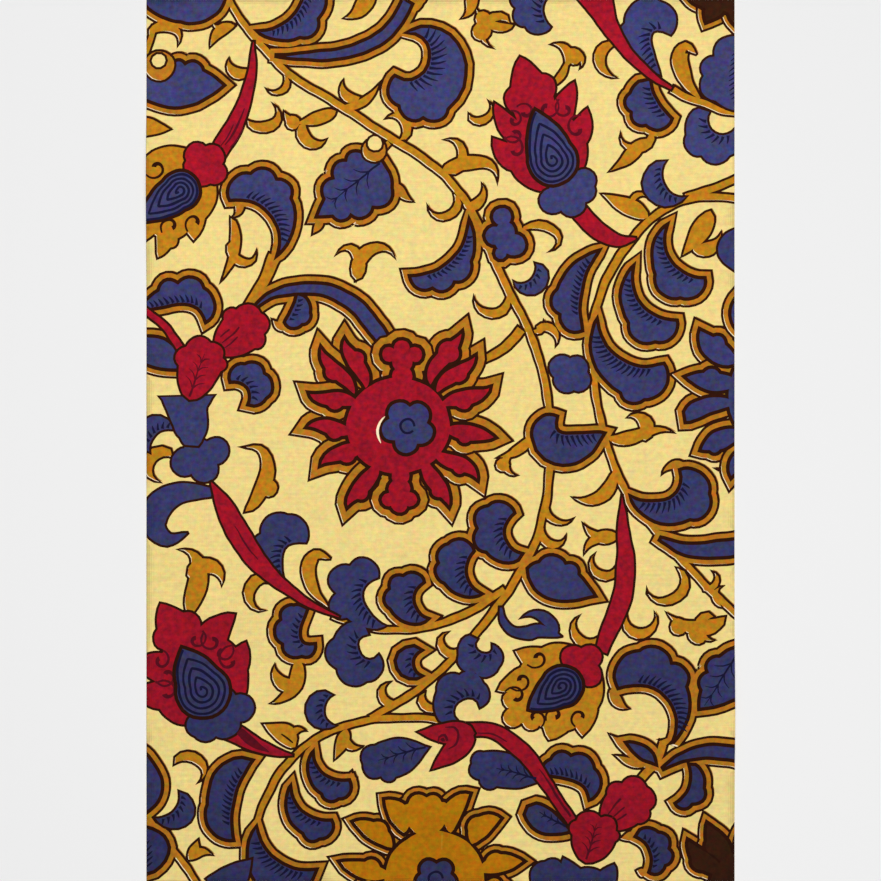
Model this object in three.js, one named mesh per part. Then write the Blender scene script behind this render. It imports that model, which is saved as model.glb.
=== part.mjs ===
// A cut length of printed cotton cloth, lying face up on a flat surface.
//
// Millimetres. The origin is on the surface, under the middle of the cloth:
// +X runs across the cloth, +Y along it and +Z up.
//
// The cloth is one woven sheet. It rests flat, and only a few low folds and
// swells lift it off the surface, as in cloth that was folded and then smoothed
// out by hand.
import * as THREE from 'three';

// Driving dimensions of the sheet.
const CLOTH_WIDTH = 200;
const CLOTH_LENGTH = 300;
const CLOTH_THICKNESS = 1.0;

// The pitch of the grid that follows the folds, and the closest that two of its lines may come.
const GRID_STEP = 9;
const CLOSEST_LINES = 1.2;

// Each fold runs in a straight line from one end to the other. Its crest stands
// `height` above the surface and its flanks run out to `reach` on both sides.
const HALF_LENGTH = CLOTH_LENGTH / 2;
const PAST_EDGE = 20;
const PRESSED_CREASES = [
  { name: 'top crease', from: [43, HALF_LENGTH + PAST_EDGE], to: [43, 124], height: 0.7, reach: 4 },
  { name: 'cross crease', from: [41, 124], to: [58, 124], height: 0.6, reach: 4 },
  { name: 'lower crease', from: [-5, -104], to: [-5, -119], height: 0.6, reach: 4 },
];
const SOFT_SWELLS = [
  { name: 'left swell', from: [-118, 96], to: [-38, 52], height: 1.0, reach: 30 },
  { name: 'middle swell', from: [22, -8], to: [64, 62], height: 0.8, reach: 26 },
  { name: 'lower swell', from: [-60, -62], to: [-6, -84], height: 0.8, reach: 24 },
  { name: 'right swell', from: [124, -104], to: [70, -76], height: 1.0, reach: 28 },
];
const FOLDS = [...PRESSED_CREASES, ...SOFT_SWELLS];

// How far a place on the cloth is from a fold's line.
function distanceToFold(x, y, fold) {
  const line = new THREE.Line3(
    new THREE.Vector3(...fold.from, 0),
    new THREE.Vector3(...fold.to, 0),
  );
  const place = new THREE.Vector3(x, y, 0);
  const nearest = line.closestPointToPoint(place, true, new THREE.Vector3());
  return nearest.distanceTo(place);
}

// How high the cloth lies above the surface: nothing where it rests flat, and
// near a fold a soft bell that meets the flat cloth without an edge.
function liftAt(x, y) {
  let lift = 0;
  for (const fold of FOLDS) {
    const distance = distanceToFold(x, y, fold);
    if (distance < fold.reach) {
      const bell = 0.5 + 0.5 * Math.cos((Math.PI * distance) / fold.reach);
      lift = Math.max(lift, fold.height * bell);
    }
  }
  return lift;
}

// Grid lines from one edge to the other: an even spacing, with more lines over
// the pressed creases, which are narrower than that spacing.
function gridLines(extent, creasePlaces) {
  const edge = extent / 2;
  const count = Math.ceil(extent / GRID_STEP);
  const lines = [-edge, edge];
  const wanted = [];
  for (const { place, reach } of creasePlaces) {
    for (const share of [-1, -0.5, 0, 0.5, 1]) {
      wanted.push(place + share * reach);
    }
  }
  for (let i = 1; i < count; i += 1) {
    wanted.push(-edge + (extent * i) / count);
  }
  for (const place of wanted) {
    const inside = Math.abs(place) < edge - CLOSEST_LINES;
    const clear = lines.every((line) => Math.abs(line - place) >= CLOSEST_LINES);
    if (inside && clear) {
      lines.push(place);
    }
  }
  return lines.sort((a, b) => a - b);
}

// The sheet: the grid once for the face and once for the underside, joined by
// a wall along all four cut edges.
function clothGeometry() {
  const creaseColumns = [];
  const creaseRows = [];
  for (const { from, to, reach } of PRESSED_CREASES) {
    for (const end of [from, to]) {
      creaseColumns.push({ place: end[0], reach });
      creaseRows.push({ place: end[1], reach });
    }
  }
  const columns = gridLines(CLOTH_WIDTH, creaseColumns);
  const rows = gridLines(CLOTH_LENGTH, creaseRows);

  const positions = [];
  for (const rise of [0, CLOTH_THICKNESS]) {
    for (const y of rows) {
      for (const x of columns) {
        positions.push(x, y, liftAt(x, y) + rise);
      }
    }
  }
  const layerSize = columns.length * rows.length;
  const underside = (column, row) => row * columns.length + column;
  const face = (column, row) => layerSize + underside(column, row);

  const triangles = [];
  const quad = (a, b, c, d) => triangles.push(a, b, c, a, c, d);
  const lastColumn = columns.length - 1;
  const lastRow = rows.length - 1;
  for (let row = 0; row < lastRow; row += 1) {
    for (let column = 0; column < lastColumn; column += 1) {
      quad(face(column, row), face(column + 1, row), face(column + 1, row + 1), face(column, row + 1));
      quad(
        underside(column, row),
        underside(column, row + 1),
        underside(column + 1, row + 1),
        underside(column + 1, row),
      );
    }
  }
  for (let column = 0; column < lastColumn; column += 1) {
    quad(underside(column, 0), underside(column + 1, 0), face(column + 1, 0), face(column, 0));
    quad(
      underside(column + 1, lastRow),
      underside(column, lastRow),
      face(column, lastRow),
      face(column + 1, lastRow),
    );
  }
  for (let row = 0; row < lastRow; row += 1) {
    quad(underside(0, row + 1), underside(0, row), face(0, row), face(0, row + 1));
    quad(
      underside(lastColumn, row),
      underside(lastColumn, row + 1),
      face(lastColumn, row + 1),
      face(lastColumn, row),
    );
  }

  const geometry = new THREE.BufferGeometry();
  geometry.setAttribute('position', new THREE.Float32BufferAttribute(positions, 3));
  geometry.setIndex(triangles);
  geometry.computeVertexNormals();
  return geometry;
}

// Unprinted ground of the cotton: a warm pale yellow.
function clothMaterial() {
  return new THREE.MeshStandardMaterial({
    color: 0xf0d787,
    roughness: 0.9,
    metalness: 0,
  });
}

const printedCloth = new THREE.Mesh(clothGeometry(), clothMaterial());
printedCloth.name = 'printed_cloth';

const clothLength = new THREE.Group();
clothLength.add(printedCloth);

export default clothLength;
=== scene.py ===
# %% [markdown]
# # A printed cotton cloth
# A cut length of plain-woven cotton, 200 by 300 mm, lies face up. Its print is a scrolling
# vine with ringed leaves, buds and open flowers, in ochre, blue and red on a cream ground.
# The cloth is one thin sheet. All that makes it look real is in its print, its weave and
# its few soft creases, so most of this lesson draws the print as real coloured areas.

# %% Open the frame
import math

import bpy
import numpy as np
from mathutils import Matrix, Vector
from mathutils.geometry import delaunay_2d_cdt


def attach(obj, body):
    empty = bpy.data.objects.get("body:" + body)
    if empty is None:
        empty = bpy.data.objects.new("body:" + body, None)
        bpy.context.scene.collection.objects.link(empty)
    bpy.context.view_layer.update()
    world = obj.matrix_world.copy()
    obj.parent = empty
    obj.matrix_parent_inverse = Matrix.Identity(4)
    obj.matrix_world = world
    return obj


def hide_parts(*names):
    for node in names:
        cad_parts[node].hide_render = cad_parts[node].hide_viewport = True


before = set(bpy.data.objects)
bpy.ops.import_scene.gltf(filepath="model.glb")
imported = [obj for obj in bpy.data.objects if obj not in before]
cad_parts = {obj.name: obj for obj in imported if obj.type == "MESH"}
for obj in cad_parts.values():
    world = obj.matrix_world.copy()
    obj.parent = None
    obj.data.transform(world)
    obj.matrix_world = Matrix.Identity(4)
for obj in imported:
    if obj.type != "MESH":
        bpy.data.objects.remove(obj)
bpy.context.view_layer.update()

# %% [markdown]
# ## Sizes
# The chart below is drawn in millimetres on the cloth, across and up from its middle, because
# a printer would rule it that way. Only the finished mesh is turned into metres.

# %% Sizes of the cloth and of the print's lines
CLOTH_WIDTH = 200.0
CLOTH_LENGTH = 300.0
CLOTH_THICKNESS = 0.5
KEY_LINE = 0.82      # the dark line round most shapes
INK_LINE = 1.25      # the heavier line where blue or red meets ochre
RING = 2.5           # the ochre band round a leaf
CURVE_STEP = 0.9     # how far apart the points of a curve are
MM = 0.001
print("the cloth covers", CLOTH_WIDTH * CLOTH_LENGTH / 100, "square centimetres")

# %% [markdown]
# ## Places as complex numbers
# A place on the cloth is one complex number: across is its real part and up is its imaginary
# part. Turning by a right angle is then a product with 1j, which keeps the drawing helpers short.
# Blender could draw the curves itself, but plain numbers can be cut and joined more easily.

# %% Arcs and smooth curves
STRAIGHT_TURN = 0.05     # an arc that turns less than this, in radians, is drawn straight
TURN_STEP = 0.35         # the most that an arc turns from one point to the next


def place(x, y):
    return complex(x, y)


def arc(start, end, bow):
    """Round arc. The bow is its rise over its chord, and a positive one bulges to the left."""
    chord = end - start
    turn = 4 * math.atan(2 * bow)
    if abs(turn) < STRAIGHT_TURN:
        count = max(1, round(abs(chord) / (3 * CURVE_STEP)))
        return start + chord * np.linspace(0, 1, count + 1)
    length = abs(chord) * abs(turn) / (2 * abs(math.sin(turn / 2)))
    count = max(2, math.ceil(abs(turn) / TURN_STEP), round(length / (1.6 * CURVE_STEP)))
    along = np.linspace(0, 1, count + 1)
    rise = np.sin(turn * along / 2) / math.sin(turn / 2)
    return start + chord * rise * np.exp(0.5j * turn * (1 - along))


def smooth_curve(points):
    """Curve that passes through each of the given places."""
    points = np.array(points, dtype=complex)
    if len(points) == 2:
        return points[0] + (points[1] - points[0]) * np.linspace(0, 1, 6)
    ends = np.concatenate([[2 * points[0] - points[1]], points, [2 * points[-1] - points[-2]]])
    curve = []
    for a, b, c, d in zip(ends, ends[1:], ends[2:], ends[3:]):
        count = max(2, math.ceil(abs(c - b) / (1.7 * CURVE_STEP)))
        t = np.arange(count) / count
        curve.append(0.5 * (2 * b + (c - a) * t + (2 * a - 5 * b + 4 * c - d) * t**2
                            + (3 * b - a - 3 * c + d) * t**3))
    return np.concatenate(curve + [points[-1:]])


print("a half round arc over 10 mm has", len(arc(place(0, 0), place(10, 0), 0.5)), "points")

# %% [markdown]
# ## Bands
# A vine or a stem is a band of one ink that follows a curve and swells or thins on its way. It
# could be a curve object with a bevel, but the print needs the outline of the band. So the
# outline is set out to both sides of a middle line, as a designer would.

# %% Bands
def ribbon(points, widths):
    """Band along a smooth curve. The widths are full ones, evenly spaced from start to end."""
    line = smooth_curve(points)
    way = np.gradient(line)
    side = 1j * way / abs(way)
    run = np.concatenate([[0], np.cumsum(abs(np.diff(line)))])
    half = 0.5 * np.interp(run / run[-1], np.linspace(0, 1, len(widths)), widths)
    if len(widths) > 2:
        smooth = np.convolve(np.pad(half, 2, mode="edge"), np.ones(5) / 5, mode="valid")
        half[1:-1] = smooth[1:-1]
    return np.concatenate([line - side * half, (line + side * half)[::-1]])


print("a straight band has", len(ribbon([place(0, 0), place(30, 0)], (2, 3))), "points")

# %% [markdown]
# ## Leaves
# Nearly all the rest are leaves, horns and petals: shapes with a base, a tip, a bent spine and
# a breadth to each side. Each could be modelled by hand, but a few numbers are easier to
# correct, and one helper then draws them all.

# %% Leaves on a curved spine
def spine(base, tip, bow, t):
    """Places along a curved spine, and the way to its left.

    The bow is one number, or one for each end of the spine.
    """
    first, last = bow if isinstance(bow, tuple) else (bow, bow)
    chord = tip - base
    start_turn = 2 * math.atan(2 * first)
    end_turn = 2 * math.atan(2 * last)
    one = base + chord * np.exp(1j * start_turn) * 2 / 3 / (1 + math.cos(start_turn))
    two = tip - chord * np.exp(-1j * end_turn) * 2 / 3 / (1 + math.cos(end_turn))
    t = np.asarray(t, dtype=float)
    at = (1 - t)**3 * base + 3 * (1 - t)**2 * t * one + 3 * (1 - t) * t**2 * two + t**3 * tip
    way = (1 - t)**2 * (one - base) + 2 * (1 - t) * t * (two - one) + t**2 * (tip - two)
    return at, 1j * way / abs(way)


def leaf(base, tip, bow, left, right, left_notches=(), right_notches=(), peak=0.55, near=1.0, far=0.8,
         puff=0.3):
    """Leaf on a curved spine, with lobes that puff out between the notches of its edges.

    Each edge is broadest at the peak. It swells sooner with a smaller near, and stays broad for
    longer with a smaller far.
    """
    def edge(t, breadth, sign):
        t = np.asarray(t, dtype=float)
        on_spine, normal = spine(base, tip, bow, t)
        before = np.sin(0.5 * np.pi * np.clip(t / peak, 0, 1)) ** near
        after = np.cos(0.5 * np.pi * np.clip((t - peak) / (1 - peak), 0, 1)) ** far
        return on_spine + sign * normal * breadth * np.where(t < peak, before, after)

    def side(breadth, notches, sign):
        if not notches:
            return edge(np.linspace(0, 1, 8 + int(abs(tip - base) / 3)), breadth, sign)
        parts = [edge(np.linspace(0, notches[0], 4 + int(14 * notches[0])), breadth, sign)]
        for a, b in zip(notches, notches[1:]):
            start, end = edge([a, b], breadth, sign)
            parts.append(arc(start, end, puff * sign)[1:])
        if notches[-1] < 1:
            parts.append(edge(np.linspace(notches[-1], 1, 6), breadth, sign)[1:])
        return np.concatenate(parts)

    return np.concatenate([side(right, right_notches, -1), side(left, left_notches, 1)[::-1][1:-1]])


print("a plain leaf has", len(leaf(place(0, 0), place(20, 0), 0.2, 4, 4)), "points")

# %% [markdown]
# ## Round shapes
# Knobs and cups are circles that grow together, the small blue flowers have a scalloped edge,
# and the heart of a bud is a teardrop. Blender has a circle of its own but not the other two,
# so all three are drawn in one way.

# %% Circles, flowers and drops
def round_patch(centre, radius, squeeze=1.0):
    turns = np.linspace(0, 2 * np.pi, max(10, int(radius * 4)), endpoint=False)
    return centre + radius * (np.cos(turns) + 1j * squeeze * np.sin(turns))


def flower(centre, radius, lobes, start, depth, puff=0.42):
    """Round flower with a scalloped edge."""
    turns = start + 2 * np.pi * np.arange(lobes) / lobes
    notches = centre + radius * (1 - depth) * np.exp(1j * turns)
    return np.concatenate([arc(a, b, -puff)[:-1] for a, b in zip(notches, np.roll(notches, -1))])


def drop(tip, centre, radius, bow=0.08):
    """Teardrop: a round end and two nearly straight sides that meet in a tip."""
    away = (centre - tip) / abs(centre - tip)
    lean = math.acos(min(radius / abs(centre - tip), 0.99))
    first = centre - away * radius * np.exp(1j * lean)
    last = centre - away * radius * np.exp(-1j * lean)
    turns = np.linspace(0, 2 * np.pi - 2 * lean, 20)
    ball = centre + (first - centre) * np.exp(1j * turns)
    return np.concatenate([arc(tip, first, -bow)[:-1], ball, arc(last, tip, -bow)[1:-1]])


print("a teardrop has", len(drop(place(0, 12), place(0, 0), 4)), "points")

# %% [markdown]
# ## Fine lines
# Fine dark lines fill the shapes: a thread wound into each teardrop, curls between the petals,
# a comb of strokes in each blue leaf, and veins. They could be a pattern in the material, but
# they follow each shape and taper like brush strokes, so each is a thin band of its own.

# %% Spirals, curls, combs and veins
RIB_WIDTHS = (0.75, 0.6, 0.2)
VEIN_WIDTHS = (0.6, 0.5, 0.15)


def spiral(outline, centre, turns, widths):
    """Line that winds in from an outline to its centre and keeps the outline's form."""
    count = len(outline)
    steps = np.arange(0, int(count * turns))
    shrink = 1 - (steps + 0.35 * count) / (count * (turns + 0.55))
    return ribbon(centre + (outline[steps % count] - centre) * shrink, widths)


def curl(notch, centre, turns, eye=0.75, widths=(0.6, 0.8, 0.9, 1.6)):
    """Small curl: a line that leaves a notch, winds in round a centre and ends in a dot."""
    t = np.linspace(0, 1, int(8 * abs(turns)) + 5)
    reach = eye + (abs(notch - centre) - eye) * (1 - t) ** 1.4
    way = (notch - centre) / abs(notch - centre)
    return ribbon(centre + way * reach * np.exp(2j * np.pi * turns * t), widths)


def ticks(base, tip, bow, breadth, first=0.2, last=0.85, reach=0.34, gap=1.6, clear=0.6, lean=0.5,
          widths=(1.1, 0.8, 0.2)):
    """Comb of short strokes along a leaf's spine, into its broad side and back towards its base."""
    at, _ = spine(base, tip, bow, np.linspace(0, 1, 30))
    length = np.sum(abs(np.diff(at)))
    comb = []
    for t in np.arange(first, last, gap / length):
        foot, normal = spine(base, tip, bow, t)
        normal = math.copysign(1, breadth) * normal
        along = -1j * normal if breadth > 0 else 1j * normal
        size = abs(breadth) * reach * math.sin(math.pi * min(max(t, 0.15), 0.85)) ** 0.5
        start = foot + clear * normal + 0.2 * along
        end = start + size * normal - lean * size * along
        comb.append(ribbon([start, (start + end) / 2 + 0.06 * size * along, end], widths))
    return comb


def veins(base, tip, bow, pairs, spread, turn=0.85):
    """A midrib with pairs of side veins that lean towards the tip."""
    rib = arc(base, tip, bow)
    lines = [ribbon(rib[::max(1, len(rib) // 5)], RIB_WIDTHS)]
    for k in range(1, pairs + 1):
        t = k / (pairs + 1)
        foot = base + (tip - base) * t + 1j * (tip - base) * bow * 4 * t * (1 - t)
        along = (tip - base) / abs(tip - base)
        for sign in (1, -1):
            end = foot + spread * (1 - 0.5 * t) * along * np.exp(1j * sign * turn)
            bend = (foot + end) / 2 + 0.1 * spread * along * np.exp(-sign * 0.7j)
            lines.append(ribbon([foot, bend, end], VEIN_WIDTHS))
    return lines


print("a comb on a 20 mm leaf has", len(ticks(place(0, 0), place(20, 0), 0.1, 6)), "strokes")

# %% [markdown]
# ## What a print does to a shape
# The dark outlines of such a print usually come from one screen and each colour from another,
# and the screens never meet exactly. So an ochre patch sits up and to the right of its outline:
# a cream sliver is left bare inside the lower left edge, and some ochre spills over the upper
# right one. Each shape therefore has three curves: both sides of its line, and its moved ink.

# %% One printed shape
# How far each colour sits from its outline, across and up, in millimetres.
MISFIT = {
    "ochre": 0.50 + 0.45j, "amber": 0.50 + 0.45j, "tan": 0.50 + 0.45j,
    "brown": 0.30 + 0.20j, "blue": 0.20 + 0.10j, "red": 0.15 + 0.10j,
}
HAND_WOBBLE = 0.11     # how uneven the outlines are, in millimetres


def tidy(outline, nearest=0.05):
    """The outline anticlockwise, with no doubled points."""
    outline = outline[abs(outline - np.roll(outline, 1)) > nearest]
    x, y = outline.real, outline.imag
    area = np.sum(x * np.roll(y, -1) - np.roll(x, -1) * y)
    return outline if area > 0 else outline[::-1]


def hand(points):
    """The small unevenness of a screen cut by hand."""
    x, y = points.real, points.imag
    dx = np.sin(0.47 * y + 0.31 * x) + 0.6 * np.sin(1.13 * x - 0.71 * y + 1.0)
    dy = np.sin(0.43 * x - 0.29 * y + 2.0) + 0.6 * np.sin(1.07 * y + 0.67 * x)
    return points + HAND_WOBBLE * (dx + 1j * dy)


def grown(outline, reach, sharp=0.55, hairpin=0.3):
    """The outline moved outwards by reach. Its tips move by reach over sharp at most."""
    if reach == 0:
        return outline
    before = outline - np.roll(outline, 1)
    after = np.roll(outline, -1) - outline
    before = before / abs(before)
    after = after / abs(after)
    way = before + after
    way = np.where(abs(way) < hairpin, before, way)
    way = way / abs(way)
    cosine = np.clip((way * np.conj(after)).real, sharp, 1)
    return outline - 1j * way * reach / cosine


class Shape:
    """One printed shape: its ink, both sides of its key line, and the patch that the ink covers."""

    def __init__(self, ink, outline, line=KEY_LINE, ring=0.0, misfit=None):
        self.ink = ink
        outline = tidy(hand(outline))
        misfit = MISFIT.get(ink, 0) if misfit is None else misfit
        self.outer = grown(outline, ring + line / 2)
        self.core = grown(outline, ring - line / 2) if line else self.outer
        self.inked = (grown(outline, ring) + misfit) if misfit else self.core
        self.curves = [self.outer]
        if line:
            self.curves.append(self.core)
        if misfit:
            self.curves.append(self.inked)


print("a shape's ink is moved by up to", round(abs(MISFIT["ochre"]), 2), "mm")

# %% [markdown]
# ## The chart of vines
# Now the layout, as a designer would note it. The print could be an image wrapped on the mesh,
# but curves stay sharp however near the camera comes, so the chart only lists what each curve
# passes. The pattern is the old scrolling vine that printed cottons have shared for centuries.

# %% Vines and stems
# Each has its full widths, evenly spaced, and then the places that it passes.
VINES = [
    ((2.8, 3.2, 3.2, 3.0, 3.0, 2.8), (-73, 152), (-67, 141.5), (-57, 130), (-50, 123.4), (-40, 117.4),
     (-30, 111.2), (-19, 104), (-10, 98.6), (-0.3, 91.6), (5, 86), (10, 79), (16, 66), (22, 53), (27.8, 42),
     (32, 32), (34.9, 22), (36.9, 10), (37.3, 0), (37, -10), (36.2, -19), (34, -29), (31.8, -36), (28, -43),
     (24, -50), (20, -55.5), (11.2, -66.8), (0.5, -77.6), (-10.9, -86.7), (-24, -94.5)),
    ((3.0, 3.0), (102, 89.5), (92, 85.5), (83, 82.5)),
    ((3.0, 3.0), (102, 82), (92, 83), (84, 82), (77, 79), (71, 75), (64, 67), (58, 58), (54.5, 50), (52, 41),
     (51.5, 31), (52.1, 21), (53.5, 11), (55.8, 1.5), (58.7, -8), (61.8, -15), (65, -20.5), (71, -28.2),
     (77.4, -35.5), (82, -40.8), (86.8, -45.8), (92, -51.2), (97, -55.8), (102, -60.5)),
    ((2.8, 2.8), (3, -95.6), (-6, -94.3), (-18, -94.4), (-28, -95.8), (-38, -99.2), (-46, -104), (-54, -112),
     (-59, -121), (-62.5, -130), (-64, -140), (-64, -152)),
    ((2.4, 2.8, 3.2), (-37, -59.5), (-30, -62), (-22, -64), (-14, -64.4), (-6, -63.6), (2, -61.6), (12, -57),
     (22, -50.5)),
    ((2.8, 2.8), (-102, -124.5), (-95, -134.6), (-90.8, -139.6), (-86.8, -144.7), (-82, -152)),
    ((3.2, 2.4), (78.5, 119.5), (83, 117), (90, 114.5), (96, 112), (103, 111)),
    ((3.0, 3.6, 3.6), (13, 26.5), (20.3, 30.5), (24.6, 34.2), (27.5, 38)),
    ((2.4, 2.4), (-97, 141), (-99.5, 134), (-101.5, 126)),
    ((2.6, 2.4), (-49.4, -71), (-48.9, -75)),
    ((2.4, 2.6), (34, 1.5), (29, -0.4), (24.5, -4)),
    ((5.0, 4.0, 4.4), (-56, 63), (-60, 54), (-65.5, 45)),
    ((3.0, 2.4), (-21, 98), (-17, 101.5)),
    ((3.4, 3.4), (76, -102), (74, -108), (68, -115.5)),
    ((1.2, 4.2, 6.6, 5.6, 0.6), (88.4, 116), (83.6, 122), (81.4, 129.5), (83.4, 134), (87, 131.2)),
    ((0.8, 3.4, 5.6, 5.2, 0.6), (-38, -57), (-43.4, -50.5), (-45, -43.5), (-42.4, -39), (-37.4, -40.2)),
]
print("the chart has", len(VINES), "vines and stems")

# %% [markdown]
# ## Leaves with a ring
# Big blue leaves hang on the vines, most of them with one nearly straight side and one broad
# lobed side, and each has a ring of ochre round it. One row holds both: the leaf is drawn once
# as it stands in blue, and once grown by the ring's width in ochre behind it.

# %% Ringed leaves
# The columns are base, tip, bow of the spine, breadth to its left and to its right, notches of
# the left and of the right edge, where it is broadest, and how soon it swells and thins.
RINGED = [
    (-104, 156, -73, 156, 0, 0.3, 13.5, (), (0.5, 1), 0.5, 0.5, 0.6),
    (-108, 119.5, -73.5, 121, 0.0, 8.0, 7.2, (0.5, 0.62, 0.8), (), 0.55, 1, 0.9),
    (-56, 62, -71.6, 81.5, -0.32, 0.3, 10.6, (), (0.5, 0.66, 0.83, 1), 0.74, 1.3),
    (-63, 139.5, -46, 158, -0.25, 0.3, 7.6, (), (0.4, 0.62, 1)),
    (-12, 138.5, -15.6, 124.2, 0.7, 14.8, 0.2, (0.7, 0.8, 0.9, 1), (), 0.7, 1.2, 0.7),
    (-20, 95.5, -42.2, 76, 0.02, 10.6, 8.6, (0.14, 0.44, 0.68, 0.85), (0.1, 0.3, 0.56, 0.8), 0.25, 0.5, 1.0),
    (71.4, 123, 78.8, 109.6, -0.12, 0.3, 9.4, (), (0.2, 0.46, 0.74, 1), 0.5, 0.4, 0.6),
    (-103, 44, -80, 40, (0.05, 0.35), 7.6, 0.2, (0.3, 0.52, 0.74, 1), (), 0.6, 0.8, 0.5),
    (-112, 31, -86, 24, 0.05, 7, 3.5),
    (-48.8, 50, -53.2, 40.2, 0.1, 6.0, 0.6, (0.42, 0.74, 1), (), 0.55, 0.5, 0.5),
    (-65.5, 12, -71.6, 19.8, -0.35, 0.2, 7.8, (), (0.2, 0.5, 0.76, 1), 0.55, 0.6, 0.6),
    (9.5, 76, -10.5, 56, 0.22, 6.5, 0.3, (0.4, 0.62, 0.8, 1), (), 0.62),
    (54.5, 65, 48.2, 37.3, -0.12, 0.3, 8.2, (), (0.56, 0.8, 1), 0.62, 1, 0.6),
    (53.4, 42, 76.2, 26.2, -0.27, 0.3, 11.2, (), (0.64, 0.8, 1), 0.86, 1.0, 0.4),
    (66, 60, 80.5, 41, -0.28, 0.3, 8.2, (), (0.56, 0.82, 1), 0.8, 1, 0.5),
    (77.6, 74, 90, 55.4, -0.3, 0.3, 8.0, (), (0.52, 0.8, 1), 0.8, 1, 0.5),
    (28, -38.5, 25.2, -24.8, 0.35, 9.4, 0.2, (0.38, 0.62, 0.84, 1), (), 0.72, 0.6, 0.5),
    (14.5, -52, 11.6, -37.5, 0.3, 9.4, 0.2, (0.46, 0.66, 0.85, 1), (), 0.75, 0.9, 0.5),
    (-4, -60.5, -5.5, -48.4, 0.36, 8.8, 0.2, (0.46, 0.66, 0.84, 1), (), 0.62, 0.9, 0.6),
    (-5.8, -79.8, -6.2, -71.4, 0.4, 6.0, 0.2),
    (29.3, -43.5, 53, -53, 0, 6.6, 6.8, (0.12, 0.46, 0.68), (), 0.4, 0.7, 1.0),
    (64.5, -18.5, 81.2, -10, (-0.3, -0.45), 0.3, 10.4, (), (0.6, 0.8, 1), 0.76, 0.9, 0.6),
    (77.5, -104.5, 60.4, -84.4, -0.4, 0.3, 11.4, (), (0.48, 0.64, 0.82, 1), 0.84, 1.5, 0.4),
    (110, -68, 87.6, -91.2, 0, 7.5, 7.5, (0.35, 0.65), (0.45, 0.66, 0.84), 0.5, 1, 0.9),
    (73.5, -110.5, 62.8, -102.8, -0.08, 2.4, 2.2, (), (), 0.45),
    (84.5, -110.2, 79.8, -123.4, 0.2, 5.0, 0.3, (0.44, 0.76, 1), (), 0.5, 0.5, 0.7),
    (33.6, -113.6, 50.4, -122.4, (0.08, 0.3), 7.8, 0.3, (0.16, 0.42, 0.7, 1), (), 0.5, 0.4, 0.6),
    (44.5, -133, 29.4, -124.4, 0.08, 4.2, 4.6, (), (), 0.6, 1, 0.4),
    (66, -134.8, 70.8, -146.8, 0.25, 6.4, 0.3, (0.3, 0.56, 0.8, 1), (), 0.5, 0.4, 0.6),
    (-108, -104, -104, -128, 0, 10.5, 0.3, (0.34, 1), (), 0.5, 0.5),
    (-63.6, -108.6, -70.3, -136, -0.12, 0.3, 9.2, (), (0.62, 1), 0.4, 0.6, 0.5),
    (-106, -131, -101, -148, 0.1, 9.4, 0.3),
    (-62.5, -131, -42, -145.8, -0.22, 0.3, 11, (), (), 0.6),
    (-50.8, -117, -37, -129, -0.25, 0.3, 6.4, (), (0.66, 0.84, 1), 0.8, 1, 0.5),
    (-43.2, -105.5, -30.8, -115.4, -0.26, 0.3, 6.4, (), (0.62, 0.82, 1), 0.75, 1, 0.5),
    (-45, -57, -42.4, -68.8, (-0.2, -0.55), 0.3, 7.2, (), (0.08, 0.34, 0.62, 0.82, 1), 0.4, 0.35, 0.6),
    (56, 2.5, 39.8, 8.4, (0.0, 0.5), 10.8, 0.3, (0.82, 1), (), 0.66, 0.7, 0.7),
]

# Bands with the same ring: the widths of the blue, then the places it passes.
BANDS = [
    ((0.6, 3.2, 4.0, 4.2, 4.0), (-56, 130.8), (-42, 130.8), (-30, 132.5), (-22, 136), (-16, 141),
     (-11, 149.5)),
    ((1.0, 3.4, 4.4, 5.2, 5.2), (-64, 44.5), (-58, 49), (-50, 51.3), (-42, 51.5), (-35, 49.6), (-28, 45),
     (-22.5, 38.5), (-18, 32)),
    ((1.2, 4.6, 5.8, 6.2), (74.5, -33.4), (82, -36.6), (90, -37.4), (103, -36)),
    ((0.8, 4.0, 5.0, 5.2), (75.5, -111.5), (82, -107.8), (90, -105.8), (98, -106), (105, -108)),
]

# One round cup with the same ring: circles by centre and radius.
RINGED_CUP = [(21, 76, 3.7), (18.4, 69.6, 3.7), (25, 66.6, 4.4), (22, 71, 4.0), (21.4, 67.4, 3.4),
              (20.6, 63.8, 2.6)]
print("the chart has", len(RINGED), "ringed leaves")

# %% [markdown]
# ## Blue shapes without a ring
# The other blue leaves, scrolls and cups lie on the cream ground with nothing but their line.
# The same helpers draw them, so they only need rows of their own.

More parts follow.
